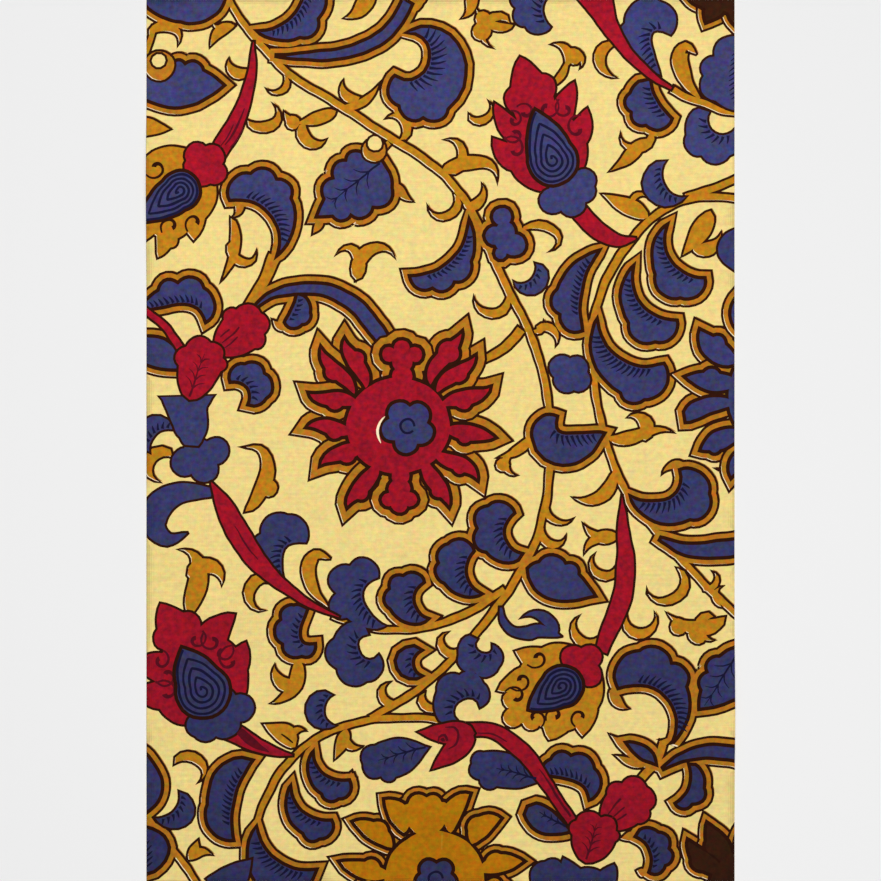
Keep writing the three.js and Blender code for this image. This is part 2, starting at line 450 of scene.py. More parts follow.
# %% Plain blue leaves, scrolls and cups
# The columns are those of the ringed leaves. A last one is how far the lobes puff out.
PLAIN = [
    (42, 153.5, 37.8, 140.6, -0.36, 0.3, 10.6, (), (0.4, 0.62, 0.8, 1), 0.45, 0.6, 0.6),
    (75.2, 124, 78.4, 137.6, (0.15, 0.7), 10.6, 0.3, (0.42, 0.66, 0.84, 1), (), 0.78, 1.0, 0.5),
    (104, 111.5, 103, 137, 0, 14.5, 0.3, (0.16, 0.52, 0.78, 1), (), 0.45, 0.5, 0.6),
    (92, 112, 100.3, 106.4, -0.52, 0.2, 9.4, (), (0.3, 0.52, 0.76, 1), 0.5, 0.4, 0.6),
    (84, 83, 77.2, 95.2, 0.36, 7.4, 0.3),
    (104, 56, 105, 72, 0, 10.5, 0.3, (0.4, 1), (), 0.5, 0.6),
    (24.5, 54.5, 31.8, 60.8, -0.4, 0.3, 5.8),
    (-18, -63, -20.8, -46.8, (0.3, 0.5), 9.6, 0.3, (0.4, 0.62, 0.82, 1), (), 0.7, 0.9, 0.45, 0.42),
    (-24, -66, -20.8, -72.4, -0.8, 0.2, 9.8, (), (0.3, 0.54, 0.78, 1), 0.55, 0.45, 0.6),
    (13, -67.5, 17.4, -68.9, -0.9, 0.2, 7.4, (), (0.26, 0.5, 0.74, 1), 0.5, 0.4, 0.5),
    (-97.5, -128, -89, -119, -0.28, 0.3, 7.0),
    (-64, -142, -80, -149, 0.05, 8, 2.0),
    (-50, -51.5, -45.6, -35, (0.3, 0.5), 10.2, 0.3, (0.46, 0.66, 0.85, 1), (), 0.8, 0.8, 0.4),
    (-3.5, -104, -26.6, -110, 0, 7.4, 6.0, (0.58, 0.8, 1), (0.76, 1), 0.55, 1, 0.4),
    (34.5, -115.5, 10.2, -110, 0, 5.8, 6.6, (0.58, 0.84, 1), (0.86, 1), 0.55, 0.8, 0.35),
    (6.2, -95.5, 13.4, -91.2, 0.7, 8.6, 0.2, (0.36, 0.6, 0.8, 1), (), 0.55, 0.45, 0.6),
    (-35, -97, -36, -86.4, 0.4, 6.4, 0.3),
    (-89.6, 3, -98.5, -4.2, -0.34, 0.3, 6.6),
    (51, -157, 41.6, -141.4, 0.1, 3.0, 5.0),
    (51, -157, 59, -143.6, -0.1, 5.0, 3.0),
    (44, -152, 31, -151, -0.2, 2.0, 6.0, (), (0.3, 0.62, 1)),
]

# The round patch that joins the last three of them: centre and radius.
LEAF_JOINT = (50.5, -153, 8)

# Scrolls, and a cup like a tulip's: widths, then places.
SCROLLS = [
    ((3.6, 6.0, 8.4, 10.0, 8.0, 5.0, 0.6), (-77.5, -17.6), (-84, -17.4), (-91, -18.6), (-96.5, -23.5),
     (-97, -30), (-92.5, -33.6), (-86, -31.3)),
    ((1.4, 3.2, 3.8, 5.0, 4.6, 0.2), (20.6, -56.5), (21.4, -61.5), (24.8, -65), (29.5, -65.6), (34, -64.6),
     (41.4, -66.8)),
]
TULIP = ((19.5, 14.6, 12.8, 12.4, 9.6, 5.0), (-86.3, 15.2), (-86.1, 11), (-85.1, 6), (-84.6, 1),
         (-84.6, -2.0))

# The tip of one scroll, in the columns of the leaves.
SCROLL_TIPS = [(40, -66.4, 27, -60.6, -0.36, 3.8, 0.8)]

# Round cups: circles by centre and radius.
CUPS = [
    [(41.2, 24.8, 4.5), (46, 24.6, 4.3), (42.6, 20.4, 4.5), (47, 20.6, 4.2)],
    [(-86.8, -7.3, 5.0), (-80.4, -9.4, 5.1), (-76.6, -3.6, 4.8), (-82.5, -4, 5.2)],
]
print("the chart has", len(PLAIN), "plain blue leaves")

# %% [markdown]
# ## Ochre sprigs
# Small sprigs fill the ground between the leaves. A sprig is two or three horns that share a
# root, so it is noted horn by horn, and the group's one outline joins them.

# %% Horns, hooks and knobs
# The columns are base, tip, bow of the spine, and breadth to its left and to its right.
HORNS = [
    (-69.5, 141.5, -77, 143.8, (0.1, 0.5), 1.4, 1.0),
    (-69.5, 141, -78.6, 133.5, -0.12, 1.4, 3.0),
    (-65, 126.6, -72, 130.2, 0.35, 3.0, 1.4),
    (-53.6, 124.8, -59.6, 120, 0.45, 2.4, 0.4),
    (-99.5, 137, -89.4, 133.8, (0.3, 0.5), 3.6, 0.4),
    (-66, 109.5, -57.2, 114.8, (-0.4, -0.6), 0.7, 3.4),
    (-14.5, 102, -19.3, 109.3, -0.45, 0.4, 3.4),
    (-35.5, 113.5, -20.2, 122.4, -0.16, 1.4, 2.2),
    (-27, 117, -33, 122.8, 0.35, 2.6, 1.6),
    (-35, 112.4, -50.6, 107.4, 0.05, 2.2, 2.6),
    (-45.5, 108.4, -38.3, 102.7, -0.4, 1.0, 4.0),
    (-48.6, 107, -53.2, 112.2, 0.1, 1.8, 1.8),
    (-29, 54, -35.8, 62.7, (-0.3, -0.6), 1.0, 3.4),
    (-28.6, 54, -15.2, 61.7, (0.35, 0.5), 3.0, 2.0),
    (-71.5, 76, -75.1, 53.4, 0.08, 3.6, 0.4),
    (-71, 68, -62.2, 65, (-0.4, -0.6), 0.5, 3.2),
    (-106, 106.5, -91.4, 105.6, 0, 3.8, 2.8),
    (-23, 154, -33.3, 143.5, 0.2, 2.0, 4.0),
    (-8, 153, -13, 146, 0.3, 2.4, 2.4),
    (11, 154, 6.6, 143.2, 0.25, 1.2, 3.6),
    (25.5, 141.6, 11.6, 148.4, 0.22, 2.4, 1.4),
    (24, 141.4, 18.4, 133.2, -0.6, 0.6, 3.4),
    (60.5, 134.5, 60.2, 123.2, -0.4, 0.4, 4.2),
    (70.5, 107, 61.2, 105.2, 0.6, 3.2, 0.5),
    (70.5, 103, 57, 91.3, 0.1, 1.4, 3.8),
    (71, 75.5, 54.3, 83.9, 0, 2.8, 3.6),
    (66, 78.5, 71.4, 81.5, 0.5, 2.2, 0.5),
    (92, 78.5, 82, 62.3, 0, 4.5, 2.8),
    (85, 66, 95.4, 71.2, -0.3, 2.6, 2.6),
    (37.4, 120.5, 43.6, 131.6, -0.12, 1.6, 1.6),
    (41.8, 126.5, 37.2, 134.8, -0.3, 0.8, 2.8),
    (42, 130, 47.2, 126.2, 0.5, 2.4, 0.8),
    (9.5, 111.5, 16, 115.8, -0.55, 0.6, 2.5),
    (0, 92.5, 0.9, 102.4, -0.6, 0.8, 3.4),
    (0, 91.8, 19.4, 87.2, (0.1, 0.4), 3.4, 1.8),
    (7, 80.5, 13.9, 87.5, -0.35, 1.3, 2.6),
    (4, 84.5, -4.6, 80.3, 0.55, 3.2, 0.3),
    (27, 70.5, 36.3, 63.3, (0.4, 0.7), 3.0, 0.4),
    (22.6, 50.5, 11.2, 49.7, 0.5, 3.2, 0.4),
    (31, 38, 35.2, 41.2, -0.3, 0.6, 2.0),
    (32, 36.5, 38.9, 31.7, 0.4, 3.0, 0.8),
    (31, 0.5, 18.6, -5.9, 0.1, 1.8, 1.7),
    (25, -4.8, 26.3, -11.7, -0.4, 0.6, 2.7),
    (56, 1.5, 79.7, 2.6, (-0.22, 0.12), 3.6, 1.4),
    (66.5, 0.5, 63.4, 7.6, -0.45, 0.8, 4.6),
    (58.5, -10, 44.5, -19.3, 0.25, 3.8, 1.4),
    (37, -20, 45.5, -26.1, -0.4, 0.5, 2.4),
    (35.5, -29, 42.9, -31.7, -0.5, 0.3, 3.2),
    (61, -31.8, 48.1, -27.8, 0.2, 2.6, 1.4),
    (61, -33, 48.6, -39.0, -0.2, 1.6, 2.6),
    (60, -42, 52.9, -38, 0.6, 3.2, 0.4),
    (55, -65, 47.7, -59.3, 0.6, 3.8, 0.4),
    (63.5, -59, 72.6, -58, -0.6, 0.3, 3.8),
    (80, -43, 69.4, -49.4, 0.6, 3.6, 0.3),
    (97, -59.6, 76.4, -58.4, 0.16, 4.4, 1.4),
    (93.5, -60, 93.6, -67.8, -0.5, 0.6, 3.6),
    (88.5, -49, 92, -44.2, -0.5, 0.4, 2.6),
    (96, -57, 96.3, -49.5, 0.5, 0.3, 3.4),
    (7.0, -69.0, 3, -65, 0.75, 3.4, 0.3),
    (-13.5, -88, -16.6, -81.8, 0.55, 3.4, 0.4),
    (-5, -85.0, 1.2, -86.6, -0.65, 0.3, 3.2),
    (-90.6, -6.6, -95, -14.4, -0.58, 0.3, 4.6),
    (-56, -49.5, -58.9, -57.7, -0.7, 0.3, 4.2),
    (-91, -110.6, -83, -116.8, (0.45, 0.6), 3.6, 0.4),
    (-66.8, -24.5, -69.2, -2.8, (-0.2, -0.55), 1.4, 4.2),
    (-85.8, -60, -89.6, -37, (-0.1, -0.4), 3.6, 3.6),
    (-84, -49, -74.4, -49.6, 0.45, 5.6, 0.5),
    (-49, -73.5, -58.2, -89.5, 0.22, 3.0, 2.6),
    (-47.6, -80, -56.2, -75.8, 0.34, 4.6, 0.8),
    (-49, -104.5, -60.8, -96.2, 0, 2.2, 5.2),
    (-50, -103, -45.5, -98.8, 0.3, 2.6, 0.6),
    (-31.8, -97.5, -36.3, -108.8, 0, 2.8, 2.0),
    (-31.5, -99, -26.2, -104, -0.3, 0.7, 2.8),
    (-86, -142, -82.1, -135.4, 0, 1.4, 2.8),
    (-86, -143, -77.2, -141, 0.2, 2.2, 1.8),
    (101, -1, 93, -9.5, 0.3, 2.6, 0.6),
]

# Hooks at the ends of rings, in the same columns.
RING_HOOKS = [
    (-70, 83, -71, 75.6, 0.3, 2.0, 1.8),
    (-16, 88, -9, 81.2, -0.1, 2.2, 1.8),
    (-40, 76, -43.8, 69.6, 0, 2.0, 1.6),
    (-51.5, 38.6, -57.6, 41.4, 0.1, 2.2, 1.4),
    (84, -9.4, 75.2, -11.8, -0.22, 1.4, 2.0),
    (70, -108, 57, -99.5, 0.05, 2.4, 2.4),
    (70, -111, 58.7, -107, 0, 2.0, 1.6),
    (67, -134, 60.6, -135.6, 0, 1.8, 2.0),
    (70, -147, 66.2, -146.2, 0, 2.0, 1.6),
    (-28.6, -117, -30.2, -112, 0.2, 1.2, 2.0),
    (58.6, -83.6, 64.4, -91.2, -0.2, 2.2, 2.4),
]

# Round knobs by centre and radius, and small openings as a knob and the round gap in it.
KNOBS = [(-50.2, 108.2, 2.8), (14.6, 143.2, 3.2), (14.0, 139.2, 3.5), (45.2, 130.4, 3.0),
         (-58.6, -16.2, 3.4), (21, -8.4, 2.7), (80.8, -63.2, 3.2), (87.2, -66, 3.5), (-9, 152, 5.0)]
HOLES = [(-95.6, 127.4, 5.4, -95.8, 129.2, 2.7), (-22.6, 98.8, 4.4, -22.4, 101, 2.9)]
print("the chart has", len(HORNS), "horns")

# %% [markdown]
# ## Red stems and leaves
# Red stems swell and taper like a brush stroke, and end in lobed red leaves that lie one over
# the other. They are bands and leaves too, kept apart here because they lie over the blue.

# %% Stems and red leaves
# The stems have widths, then places.
TAPERS = [
    ((0.8, 3.0, 4.0, 5.2, 6.6, 6.0), (-63.6, 136), (-63.9, 128), (-65.5, 119), (-69, 109), (-72.5, 103),
     (-76, 97)),
    ((13, 8, 5, 3.5, 3, 1.4), (52, 153), (57, 142), (62, 134), (67, 128.5), (72, 124), (79, 119.5)),
    ((6, 6.2, 6.4, 5, 1.0), (44, 83), (48, 77), (53, 71.8), (60, 67.8), (66.5, 68.8)),
    ((2.6, 3.0, 3.0), (-103, 46), (-95, 40), (-91, 35), (-86, 28)),
    ((0.6, 7.4, 8.0, 6.6, 4.2, 2.8, 0.8), (-78.2, -13.8), (-74.2, -21), (-69, -31), (-61.5, -42),
     (-51, -51.2), (-42, -56.8), (-34, -60)),
    ((0.6, 3.8, 5.6, 6.8, 6.8, 6.2, 4.6), (61.8, -18.5), (62, -29), (63, -42), (61.6, -54), (57.5, -64),
     (54.5, -72)),
    ((7.0, 6.0, 4.0, 0.8), (-72, -98.5), (-62, -103.8), (-56, -106), (-50, -107)),
    ((5.0, 5.2, 6.2, 6.0, 4.4, 4.0, 4.2), (8, -98.4), (15.5, -98.4), (20.5, -100.2), (26, -104.2),
     (31, -109.4), (35.5, -116), (40, -122.6), (45, -130)),
]

# The leaves are in the usual columns. Each list lies over the one before.
HEAD = [
    (12, -99.5, -8.4, -99.2, 0, 4.4, 4.0, (), (), 0.35, 0.4, 1.0),
    (11, -98.6, -3.6, -112.3, 0.02, 4.2, 4.0, (), (), 0.3, 0.45, 1.0),
]
CLOVERS = [
    (-75.8, 29.8, -61, 43.5, 0, 7.4, 7.6, (0.44, 0.74, 1), (0.5, 0.8, 1), 0.56, 0.45, 0.45),
    (55.2, -131, 70.4, -117.6, 0, 7.6, 7.6, (0.4, 0.72, 1), (0.46, 0.76, 1), 0.56, 0.45, 0.45),
]
HEARTS = [
    (-85.5, 13.5, -78, 33.5, 0, 8.4, 6.8, (0.46, 0.8, 1), (0.6, 0.84, 1), 0.66, 0.5, 0.35),
    (49.3, -144, 54.5, -127.8, 0, 8.2, 7.6, (0.46, 0.78, 1), (0.6, 0.84, 1), 0.66, 0.55, 0.35),
]
print("the chart has", len(TAPERS), "red stems")

# %% [markdown]
# ## Veins and loose lines
# The last fine lines follow no rule of their own: veins in some leaves and a few free strokes
# in the red shapes. They are few, so each is simply noted.

# %% Veins and loose lines
# Veins have an ink, base, tip, bow, pairs of side veins and their length.
VEINED = [
    ("navy", -20.6, 94.4, -39, 79.4, 0, 4, 6.4), ("navy", 101, -72, 89.6, -90, 0, 4, 6.4),
    ("navy", -5, -104, -21, -108.8, 0, 4, 4.6), ("navy", 32.6, -114.8, 19, -111.4, 0, 4, 4.0),
    ("navy", 42.5, -131.4, 33.5, -126.4, 0, 3, 2.6), ("wine", -85.4, 15, -80.4, 29.4, 0, 4, 5.2),
    ("wine", 49.6, -142.6, 53.2, -130.4, 0, 4, 4.8),
]

# Loose lines have an ink, widths, then places. The bare sliver beside a blue flower and the thin lighter
# line in the top petal of the tan flower come last.
INNER_LINES = [
    ("wine", (0.3, 0.8, 0.7), (-74.2, 33.4), (-71, 36), (-68.4, 38.6)),
    ("wine", (0.3, 0.8, 0.5), (-73.4, 31.6), (-70.8, 33.4), (-69, 35.4)),
    ("wine", (0.3, 0.8, 0.5), (-74.8, 35.2), (-73.2, 36.8), (-71.8, 38)),
    ("wine", (0.3, 0.8, 0.7), (56.8, -127.4), (59.2, -124.4), (61.4, -121.8)),
    ("wine", (0.3, 0.8, 0.5), (58, -128.6), (60.4, -126.6), (62.8, -124.8)),
    ("wine", (0.3, 0.8, 0.5), (59.6, -129.4), (61.6, -128.2), (63.4, -127)),
    ("wine", (0.3, 0.9, 0.9, 0.4), (-66.8, 113), (-68.4, 108.4), (-70.6, 104.4), (-73.2, 100.6)),
    ("wine", (0.3, 0.7, 0.3), (-70.4, 107.6), (-72.4, 103.6), (-75, 99.6)),
    ("wine", (0.3, 0.7, 0.3), (-67, 106.6), (-69.4, 102.4), (-71.6, 99.6)),
    ("wine", (0.3, 0.8, 0.9, 0.8, 0.3), (1.6, -97.4), (4.8, -97.6), (6.2, -100), (5.4, -103.2), (2.6, -105)),
    ("wine", (0.3, 0.9, 1.0, 0.9), (-0.8, -103.4), (-0.6, -100.8), (1.6, -100.2), (2.2, -102.2)),
    ("wine", (1.2, 1.3, 0.6), (0.2, -102), (0.9, -101.6), (1.2, -102.4)),
    ("wine", (2.4, 3.6, 2.4, 0.3), (-68.6, -98.8), (-65.4, -101.6), (-62, -104), (-58.4, -106)),
    ("line", (0.4, 1.0, 0.4), (-54, -100), (-52, -101.4), (-50, -102.8)),
    ("wine", (0.3, 0.8, 0.9, 0.8), (33.5, -111.6), (37.4, -117.4), (41, -123), (44.4, -128)),
    ("wine", (0.3, 0.8, 0.3), (12.6, -99.4), (17.4, -99.8), (22.6, -102.4)),
    ("wine", (0.3, 0.7, 0.3), (-70, -29), (-66.6, -35), (-62, -40.4)),
    ("bare", (0.2, 0.8, 1.0, 0.8, 0.2), (-18.8, 8.2), (-20.6, 6.2), (-21.5, 3.6), (-21.2, 1.2),
     (-20.2, -0.8)),
    ("ochre", (0.5, 0.6, 0.5), (0.5, -133.6), (0.6, -136.5), (0.5, -139)),
]
print("the chart has", len(VEINED), "sets of veins and", len(INNER_LINES), "loose lines")

# %% [markdown]
# ## From chart to shapes
# Shapes that touch are drawn as one group, so that their outlines join round all of them. What
# lies in front, such as a flower over a stem, comes in a later group and covers what is behind.
# Layers of thin mesh could do the same, but one cloth has one surface, so the groups only
# decide which ink each part of it gets.

# %% Rows of the chart as shapes
NARROW, BROAD = 1.0, 5.0     # a comb is drawn in a leaf with one side under and one over these


def leaves(rows, ink, line=KEY_LINE, ring=0.0):
    return [Shape(ink, leaf(place(*row[:2]), place(*row[2:4]), *row[4:]), line, ring) for row in rows]


def bands(rows, ink, line=KEY_LINE, ring=0.0):
    return [Shape(ink, ribbon([place(*stop) for stop in row[1:]], row[0]), line, ring) for row in rows]


def horns(rows, ink):
    return [Shape(ink, leaf(place(*row[:2]), place(*row[2:4]), *row[4:], peak=0.38, near=0.55, far=1.1))
            for row in rows]


def clump(ink, circles, line=KEY_LINE, ring=0.0):
    return [Shape(ink, round_patch(place(x, y), radius), line, ring) for x, y, radius in circles]


def strokes(outlines, ink="line"):
    return [Shape(ink, outline, line=0.0, misfit=0) for outline in outlines]


def combs(rows):
    """Comb strokes for every leaf that has one broad side."""
    found = []
    for bx, by, tx, ty, bow, left, right, *_ in rows:
        if min(left, right) < NARROW and max(left, right) > BROAD:
            breadth = left if left > right else -right
            found += ticks(place(bx, by), place(tx, ty), bow, breadth)
    return strokes(found, "navy")


print("the blue leaves have", len(combs(RINGED + PLAIN)), "comb strokes")

# %% [markdown]
# ## Buds
# A bud is a blue teardrop with a thread of dark line wound in it, in front of petals with small
# curls, and its foot sits in a round cup. It is made of the leaves, circles and drops from
# above, so no outline is set out point by point.

# %% Buds
# Each has its ink, its heart, petals as tip, bow, breadths and notches, a body of circles, a cup of
# circles in another ink, a teardrop as tip, centre and radius, and the curls that wind inwards from
# the notches between its petals, as notch, centre and turns.
BUDS = [
    ("red", (35, 98), [(26.8, 130.8, 0, 6.8, 8.4, (0.46, 0.72), (0.52, 0.78)),
                       (18.2, 115.2, 0.06, 4.8, 3.0, (), ()), (17.6, 103.5, 0.08, 8, 1.2, (), ()),
                       (45.6, 122.6, 0.04, 3.2, 6.0, (), ()), (50, 113.6, -0.06, 1.6, 7.6, (), ())],
     [(36.2, 98.4, 14.0)],
     "blue", [(38.2, 81.6, 4.8), (44.8, 80.8, 4.8), (48.8, 84.8, 4.2), (48.8, 88.4, 4.3), (42.4, 85, 6)],
     (32, 112.8, 38.2, 95.2, 8.6),
     [(26, 113.6, 29, 111.6, -0.9), (24, 112.4, 25, 109, -0.9), (21.8, 103.4, 25.3, 104, 0.85),
      (21.6, 102.6, 25.2, 98.8, -0.8), (39.4, 116.4, 36.2, 113, -0.9), (40.4, 116.2, 42.4, 112.6, 0.9),
      (47.9, 110.8, 46.6, 106, 0.8)]),
    ("red", (-84, -82), [(-95.6, -55.2, 0, 5.6, 9.4, (0.48, 0.74), (0.52, 0.8)),
                         (-69.6, -58.8, 0.08, 6.6, 5.0, (), ()), (-65.8, -68, -0.05, 2.6, 8.8, (), ()),
                         (-105, -75, 0, 4.4, 6.4, (), ()), (-105, -86, 0, 7.8, 2.8, (), ())],
     [(-81.4, -81, 16.2), (-86.4, -86, 11)],
     "blue", [(-68.2, -91, 5.1), (-73.4, -96, 5.6), (-80, -97.4, 5.2), (-82.4, -96.8, 4.4), (-76, -91, 8)],
     (-88.2, -70, -80.8, -85.2, 9.4),
     [(-81, -64.6, -83, -67.8, -0.9), (-80.5, -65, -77.6, -68.4, 0.9), (-70.8, -69.4, -74, -72, -0.8),
      (-70.8, -69.4, -71.4, -75, 0.8), (-94.4, -71.4, -95.2, -75, -0.9), (-97, -81.8, -93, -79.8, 0.85),
      (-97, -82.4, -93.2, -85.8, -0.8)]),
    ("ochre", (-90, 84), [(-96.2, 61.8, 0.03, 4.4, 3.8, (0.6, 0.8), ()), (-83.8, 67.4, 0, 7.6, 1.8, (), ()),
                          (-103, 97, 0.1, 6, 6, (), ()), (-104, 66, 0, 3.6, 3.0, (), ())],
     [(-90.6, 85.2, 15), (-92, 76, 8.4)],
     "red", [(-82.8, 97.2, 4.4), (-77.6, 96.4, 4.5), (-76.6, 90.8, 4.2), (-80.6, 91, 4.8), (-83.4, 93, 3.9)],
     (-103, 74, -88.4, 84.8, 6.9),
     [(-100.4, 90.6, -96.6, 92.6, 0.9), (-94.6, 70.6, -91.4, 72.8, -0.75), (-85.8, 70.8, -83.4, 74, -0.75)]),
    ("ochre", (41, -85), [(25, -71.6, 0, 2.2, 8.4, (), ()), (18.8, -85.3, 0, 1.0, 9, (), ()),
                          (36.5, -102.2, 0, 7.2, 4.4, (), ()), (48.2, -101.2, 0, 9.6, 1.4, (), ())],
     [(40.4, -84, 15.2), (24.4, -88.3, 3.6), (24.6, -94.2, 3.7), (30.8, -95.4, 3.5), (30, -90, 7)],
     "red", [(45.3, -74, 4.6), (50.6, -73.6, 4.4), (50.6, -79.4, 4.5), (46.6, -77.6, 4.6)],
     (29.8, -91.6, 41.4, -83.6, 7.2),
     [(29.5, -76.2, 33, -74, 0.9), (24, -84.2, 27.4, -81.6, 0.9), (22, -85.3, 25.8, -87.2, -0.8),
      (33.8, -98, 32.2, -94.2, 0.8), (36, -95.4, 39, -93.6, -0.8), (45.8, -97.4, 47.4, -94, -0.75)]),
]
THREAD_WIDTHS = (0.8, 0.9, 0.8, 0.9, 0.8)


def bud(ink, heart, petals, body, cup_ink, cup, teardrop, curls):
    """Petals with curls, then the cup over them, then the teardrop with its wound thread."""
    heart = place(*heart)
    outlines = [leaf(heart, place(a, b), *form, peak=0.5, near=0.45, far=0.75, puff=0.28)
                for a, b, *form in petals]
    flesh = clump(ink, body) + [Shape(ink, outline) for outline in outlines]
    winds = strokes([curl(place(a, b), place(c, d), turns) for a, b, c, d, turns in curls],
                    "wine" if ink == "red" else "line")
    tx, ty, cx, cy, size = teardrop
    middle = place(cx, cy)
    edge = drop(place(tx, ty), middle, size)
    thread = spiral(edge, middle, turns=4.2, widths=THREAD_WIDTHS)
    return [flesh, winds, clump(cup_ink, cup), [Shape("violet", edge, INK_LINE)], strokes([thread], "navy")]


print("the chart has", len(BUDS), "buds")

# %% [markdown]
# ## Open flowers
# An open flower is a ring of pointed petals round a patch of one colour. Every petal has its
# own ochre ring and lies over the one before, as on a real flower head, while the inner colour
# runs together in the middle.

# %% Open flowers
# Each has its ink, the ring's ink and width, the middle's centre, radius and squeeze, and petals by the
# base and tip of their inner colour, in the columns of the leaves. Last come petals made of circles.
FLOWERS = [
    ("red", "amber", 3.2, (-14.4, 5, 18.2, 0.93), [
        (-28, 4, -46.1, 4.4, (0.12, -0.12), 2.7, 3.1, (0.3, 0.58), (0.66,)),
        (-24, 0.6, -41.3, -9.0, (0.1, -0.14), 3.3, 2.9, (0.34, 0.6), (0.5,)),
        (-22, -6, -31.8, -23.3, (0.16, -0.1), 3.5, 2.9, (0.52, 0.78), (0.6,)),
        (-5.5, -5, 2.9, -23.2, (-0.12, 0.12), 2.7, 3.5, (0.6,), (0.54, 0.78)),
        (-3, -3, 12.9, -13.9, (-0.1, 0.18), 3.3, 2.7, (0.72,), (0.46, 0.7)),
        (0.4, 3, 19.1, 0.9, (0.1, 0.02), 2.7, 3.7, (0.7,), (0.28, 0.56)),
        (-0.5, 11, 17.2, 18.7, (0.14, -0.12), 2.5, 3.7, (0.66,), (0.3, 0.6)),
        (-1.6, 15.6, 12.3, 29.5, (0.16, -0.08), 2.3, 3.3, (0.6,), (0.44, 0.68)),
        (-3.4, 18, 7.4, 37.5, (0.18, -0.06), 2.9, 3.3, (0.5, 0.78), (0.5, 0.76)),
        (-25.6, 17, -32.7, 35.2, (-0.16, 0.1), 3.1, 2.9, (0.64,), (0.44, 0.7)),
        (-29, 15, -40.9, 32.3, (-0.1, 0.14), 2.7, 2.7, (0.4, 0.66), (0.7,)),
        (-27, 11.6, -45.3, 16.5, (-0.12, 0.12), 2.9, 2.9, (0.34, 0.62), (0.66,)),
    ], [[(-17.4, 29.4, 3.2), (-13.1, 31.4, 3.4), (-8.7, 29.2, 3.2), (-13, 26.8, 4.2), (-13, 22, 4.0)],
        [(-14, -21.6, 3.6), (-17.6, -20.2, 3.0), (-10.4, -20, 3.0), (-14, -16.4, 4.2), (-13.6, -12, 3.8)]]),
    ("tan", "amber", 2.1, (-2, -149, 17.6, 0.96), [
        (-16, -148, -34.8, -143, 0.04, 3.4, 3.4, (0.3,), (0.24, 0.56)),
        (-16, -139, -30.2, -129.6, -0.08, 3.4, 3.6, (), (0.3, 0.64)),
        (-12.6, -134, -19.4, -121.8, -0.12, 3.6, 4.4, (), (0.2, 0.56)),
        (-4.6, -136, -4.6, -120.6, 0, 8.6, 7.6, (0.62, 0.84, 1), (0.7, 0.88, 1), 0.66, 0.6, 0.55),
        (3.6, -134, 10.6, -119.8, 0.14, 4.4, 3.0, (0.2, 0.56), ()),
        (10.6, -138, 21, -128.4, 0.16, 4.2, 3.4, (0.24, 0.6), ()),
        (12, -147, 29, -143, 0.06, 3.6, 3.4, (0.24, 0.56), ()),
        (12, -153, 25, -156, 0.1, 4.0, 3.4, (0.3, 0.6), ()),
        (-18, -153, -30, -157, -0.1, 3.4, 4.0, (), (0.3, 0.6)),
    ], []),
    ("brown", "amber", 2.2, (104, -152, 13.0, 1.0), [
        (98, -147, 84, -135.5, 0.1, 3.8, 3.0, (0.4, 0.7), ()),
        (100, -145, 90.6, -129.6, 0.06, 3.6, 4.0, (0.4, 0.7), ()),
        (103.6, -144, 103, -130, 0.0, 3.4, 3.4, (), ()),
    ], []),
    ("brown", "amber", 2.2, (102, 156, 12.0, 1.0), [
        (96, 154, 84, 150, 0.1, 3.6, 3.0, (0.4, 0.7), ()),
        (98, 151, 90, 142, -0.06, 3.4, 3.8, (), (0.4, 0.7)),
        (101.5, 151, 100, 141, 0.0, 3.4, 3.4, (), ()),
    ], []),
    ("blue", "amber", 2.6, (113, 15, 15.6, 1.2), [
        (103, 3, 88, -3.4, -0.05, 4.0, 3.4, (0.6, 0.84), ()),
        (102, 12, 83.2, 6.2, -0.08, 1.6, 5.0, (), (), 0.7, 0.6, 0.45),
        (102, 27, 88, 38.2, 0.12, 4.4, 3.8, (), (0.4, 0.74)),
        (103, 19.4, 82.8, 21.8, 0.02, 3.8, 3.4, (), (0.4, 0.7)),
        (104, 36, 101.4, 49.6, 0.1, 3.0, 4.6, (), ()), (104, -3, 98.8, -13, -0.1, 2.0, 2.4, (), ()),
    ], []),
]
PETAL_FORM = (0.48, 0.62, 0.85)     # where a petal is broadest, and how soon it swells and thins
MIDDLE_RING = 1.4                   # the ring that shows between the petals


def open_flower(ink, ring_ink, ring, middle, petals, round_petals):
    """Ringed petals laid one over the next, joined in the middle by one patch of ink."""
    x, y, radius, squeeze = middle
    centre = place(x, y)
    disc = round_patch(centre, radius, squeeze)
    outlines = [leaf(place(*row[:2]), place(*row[2:4]), *row[4:9], *(row[9:] or PETAL_FORM), puff=0.26)
                for row in petals]
    rings = [[Shape(ring_ink, disc, ring=MIDDLE_RING)]]
    rings += [[Shape(ring_ink, outline, ring=ring)] for outline in outlines]
    for circles in round_petals:
        lobes = [round_patch(place(a, b), size) for a, b, size in circles]
        rings.append([Shape(ring_ink, lobe, ring=ring) for lobe in lobes])
        outlines += lobes
    return [*rings, [Shape(ink, outline, INK_LINE) for outline in [*outlines, disc]]]


print("the chart has", len(FLOWERS), "open flowers")

# %% [markdown]
# ## The whole print
# Now everything is laid in order, from the vines at the back to the loose lines in front. Each
# entry of the list is one group, and the order is all that decides what covers what.

# %% Groups of shapes, from back to front
# Blue flowers in the middle of the open ones: centre, radius and where the first lobe starts.
CENTRES = [(-11.2, 4.8, 9.2, 0.21), (-1.6, -149, 7.2, 0.3)]
EYE_RADIUS = 2.4     # the small round line in the middle of such a flower
EYE_WIDTHS = (0.7, 0.8, 0.9, 0.8, 0.7)


